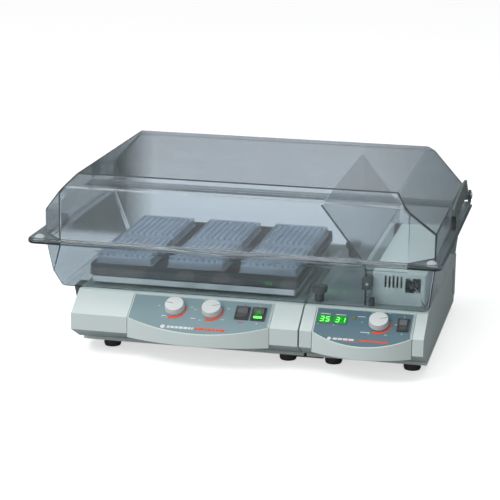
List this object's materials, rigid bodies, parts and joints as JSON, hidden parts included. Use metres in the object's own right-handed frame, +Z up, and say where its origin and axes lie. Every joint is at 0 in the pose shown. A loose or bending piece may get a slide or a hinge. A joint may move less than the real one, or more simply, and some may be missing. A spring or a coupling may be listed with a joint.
{
  "type": "incubator plate shaker",
  "caption": "Orbital plate shaker and heater unit side by side under a shared smoke-tinted hood with a hinged faceted lid and an air baffle.",
  "frame": {"origin": "on the table, under the middle of the whole machine's bounding box", "axes": "+X to the right along the longest side, -Y to the front with the controls, +Z up"},
  "size_m": [0.598, 0.458, 0.261],
  "materials": {
    "smoked_clear": "smoke-tinted clear moulded plastic, gloss",
    "clear_plastic": "clear moulded plastic",
    "housing_grey": "light grey paint, fine satin texture",
    "label_blue_grey": "printed satin film",
    "knob_grey": "light grey moulded plastic",
    "black_plastic": "black moulded plastic",
    "black_rubber": "black rubber",
    "black_steel": "black powder coat",
    "platform_dark": "dark grey anodised plate",
    "alloy": "satin",
    "steel": "machined steel",
    "cast_grey": "fine cast",
    "rocker_black": "black gloss rocker",
    "rocker_lit_green": "green illuminated rocker",
    "display_green": "lit green display window",
    "lamp_amber": "unlit amber lamp",
    "board_green": "circuit board"
  },
  "bodies": {
    "base": {"tub": "smoked_clear", "hinge_brackets": "black_steel", "hinge_pins": "steel", "air_baffle": "clear_plastic", "baffle_clips": "black_plastic", "drain_plug": "black_rubber", "shaker_front_moulding": "housing_grey", "shaker_fascia": "housing_grey", "shaker_label": "label_blue_grey", "shaker_cover": "housing_grey", "shaker_base_pan": "housing_grey", "drive_cover_plate": "black_plastic", "heater_front_moulding": "housing_grey", "heater_fascia": "housing_grey", "heater_label": "label_blue_grey", "heater_cover": "housing_grey", "heater_base_pan": "housing_grey", "left_support_bracket": "black_steel", "joining_plates": "black_steel", "feet": "black_rubber", "housing_screws": "steel", "potentiometers": "steel", "rocker_frames": "black_plastic", "displays": "display_green", "status_lamp": "lamp_amber", "main_bearing_block": "cast_grey", "main_bearings": "steel", "shaker_motor": "steel", "drive_belt": "black_rubber", "guide_bearing_posts": "alloy", "heater_air_box": "housing_grey", "fan_frame": "black_plastic", "heating_element": "steel", "temperature_sensor": "steel", "circuit_boards": "board_green", "power_inlets": "black_plastic"},
    "lid": {"hood_lid": "smoked_clear", "lid_corner_buttons": "smoked_clear", "hinge_arms": "smoked_clear", "arm_studs": "black_plastic"},
    "drive_shaft": {"eccentric_shaft": "steel", "driven_pulley": "alloy", "counterweight": "cast_grey"},
    "motor_rotor": {"motor_pulley": "alloy"},
    "guide_1": {"guide_crank_1": "steel"},
    "guide_2": {"guide_crank_2": "steel"},
    "guide_3": {"guide_crank_3": "steel"},
    "platform": {"carriage_frame": "alloy", "platform_plate": "platform_dark", "platform_mat": "black_rubber", "microplates": "clear_plastic"},
    "timer_dial": {"timer_knob": "knob_grey"},
    "speed_dial": {"speed_knob": "knob_grey"},
    "temperature_dial": {"temperature_knob": "knob_grey"},
    "start_switch": {"start_rocker": "rocker_black"},
    "shaker_power_switch": {"shaker_power_rocker": "rocker_lit_green"},
    "heater_power_switch": {"heater_power_rocker": "rocker_black"},
    "fan_rotor": {"fan_impeller": "black_plastic"},
    "clamp_front": {"clamp_knob_front": "black_plastic"},
    "clamp_rear": {"clamp_knob_rear": "black_plastic"}
  },
  "joints": [
    {"name": "lid_hinge", "type": "hinge", "parent": "base", "child": "lid", "pos_m": [0, 0.22, 0.176], "axis": [-1, 0, 0], "range_deg": [0, 95]},
    {"name": "drive_spin", "type": "hinge", "parent": "base", "child": "drive_shaft", "pos_m": [-0.065, 0, 0.06], "axis": [0, 0, 1], "continuous": true},
    {"name": "platform_orbit", "type": "hinge", "parent": "drive_shaft", "child": "platform", "pos_m": [-0.0635, 0, 0.1], "axis": [0, 0, 1], "continuous": true},
    {"name": "motor_spin", "type": "hinge", "parent": "base", "child": "motor_rotor", "pos_m": [0.043, 0, 0.05], "axis": [0, 0, 1], "continuous": true},
    {"name": "guide_1_spin", "type": "hinge", "parent": "base", "child": "guide_1", "pos_m": [-0.185, -0.105, 0.08], "axis": [0, 0, 1], "continuous": true},
    {"name": "guide_2_spin", "type": "hinge", "parent": "base", "child": "guide_2", "pos_m": [0.055, -0.105, 0.08], "axis": [0, 0, 1], "continuous": true},
    {"name": "guide_3_spin", "type": "hinge", "parent": "base", "child": "guide_3", "pos_m": [-0.065, 0.125, 0.08], "axis": [0, 0, 1], "continuous": true},
    {"name": "timer_dial_turn", "type": "hinge", "parent": "base", "child": "timer_dial", "pos_m": [-0.08, -0.18805, 0.07747], "axis": [0, -0.5115, 0.8593], "range_deg": [-230, 70]},
    {"name": "speed_dial_turn", "type": "hinge", "parent": "base", "child": "speed_dial", "pos_m": [-0.026, -0.18805, 0.07747], "axis": [0, -0.5115, 0.8593], "range_deg": [-80, 220]},
    {"name": "temperature_dial_turn", "type": "hinge", "parent": "base", "child": "temperature_dial", "pos_m": [0.2135, -0.18805, 0.07747], "axis": [0, -0.5115, 0.8593], "range_deg": [-78, 222]},
    {"name": "start_switch_rock", "type": "hinge", "parent": "base", "child": "start_switch", "pos_m": [0.0186, -0.18818, 0.0767], "axis": [1, 0, 0], "range_deg": [-12, 0]},
    {"name": "shaker_power_switch_rock", "type": "hinge", "parent": "base", "child": "shaker_power_switch", "pos_m": [0.042, -0.18818, 0.0767], "axis": [1, 0, 0], "range_deg": [-12, 0]},
    {"name": "heater_power_switch_rock", "type": "hinge", "parent": "base", "child": "heater_power_switch", "pos_m": [0.2473, -0.18818, 0.0767], "axis": [1, 0, 0], "range_deg": [-12, 0]},
    {"name": "fan_spin", "type": "hinge", "parent": "base", "child": "fan_rotor", "pos_m": [0.2525, -0.133, 0.122], "axis": [0, 1, 0], "continuous": true},
    {"name": "clamp_front_turn", "type": "hinge", "parent": "base", "child": "clamp_front", "pos_m": [0.121, -0.145, 0.1], "axis": [0, 0, 1], "range_deg": [0, 720]},
    {"name": "clamp_rear_turn", "type": "hinge", "parent": "base", "child": "clamp_rear", "pos_m": [0.127, 0.11, 0.1], "axis": [0, 0, 1], "range_deg": [0, 720]}
  ],
  "couplings": [
    {"joint": "platform_orbit", "follows": "drive_spin", "ratio": -1},
    {"joint": "motor_spin", "follows": "drive_spin", "ratio": 4},
    {"joint": "guide_1_spin", "follows": "drive_spin", "ratio": 1},
    {"joint": "guide_2_spin", "follows": "drive_spin", "ratio": 1},
    {"joint": "guide_3_spin", "follows": "drive_spin", "ratio": 1}
  ]
}
